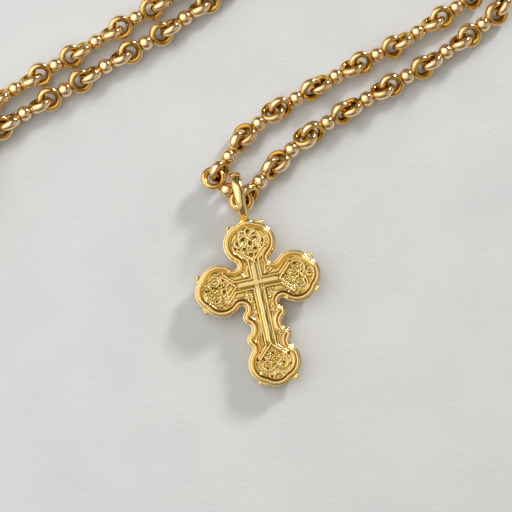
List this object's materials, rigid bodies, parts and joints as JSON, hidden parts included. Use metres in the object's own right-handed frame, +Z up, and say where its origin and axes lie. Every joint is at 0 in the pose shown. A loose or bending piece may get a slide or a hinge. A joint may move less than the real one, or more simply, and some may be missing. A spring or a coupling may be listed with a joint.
{
  "type": "cross pendant on a chain",
  "caption": "Cast cross pendant with trefoil lobes, raised ornament and a soldered bail, lying on a ball and ring chain.",
  "frame": {"origin": "middle of the laid out necklace on the surface it lies on", "axes": "+Z up from the surface, +Y towards the picture's upper edge, +X to the picture's right"},
  "size_m": [0.1308, 0.1082, 0.007],
  "materials": {
    "yellow_gold": "polished yellow gold with darker recesses",
    "rose_gold": "polished warm gold"
  },
  "bodies": {
    "root": {"cross": "yellow_gold", "chain_left": "rose_gold", "chain_right": "rose_gold", "clasp": "rose_gold"}
  },
  "joints": []
}
